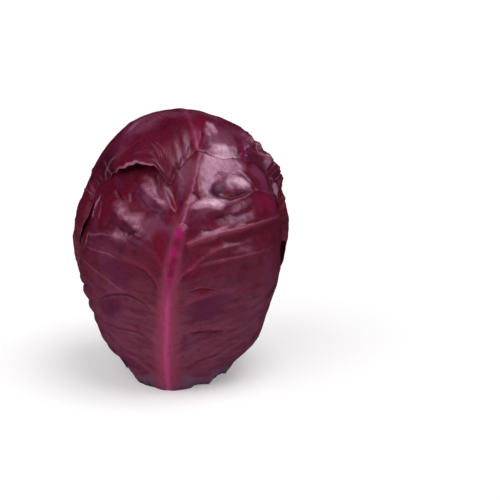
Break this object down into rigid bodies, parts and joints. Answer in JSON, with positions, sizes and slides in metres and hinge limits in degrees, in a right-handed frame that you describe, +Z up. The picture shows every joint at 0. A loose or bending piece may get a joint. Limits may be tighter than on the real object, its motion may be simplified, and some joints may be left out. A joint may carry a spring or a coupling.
{
  "type": "red cabbage",
  "caption": "Whole head of red cabbage: ribbed, veined wrapper leaves with waved edges wrap a dense heart, and the head stands on its cut stem.",
  "frame": {"origin": "middle of the stem's cut face, on the surface that the head stands on", "axes": "+Z up along the stem, -Y towards the viewer of the picture, which looks at the front leaf and its midrib"},
  "size_m": [0.1486, 0.1476, 0.1813],
  "materials": {
    "blade": "waxy red cabbage leaf, deep maroon with magenta ribs and a dusky bloom",
    "heart": "tightly folded inner cabbage leaves, purple",
    "stem": "pale cut cabbage stem, moist and fibrous"
  },
  "bodies": {
    "root": {"stem": "stem", "heart": "heart", "leaf_right": "blade", "leaf_left": "blade", "leaf_front": "blade", "leaf_cap": "blade"}
  },
  "joints": []
}
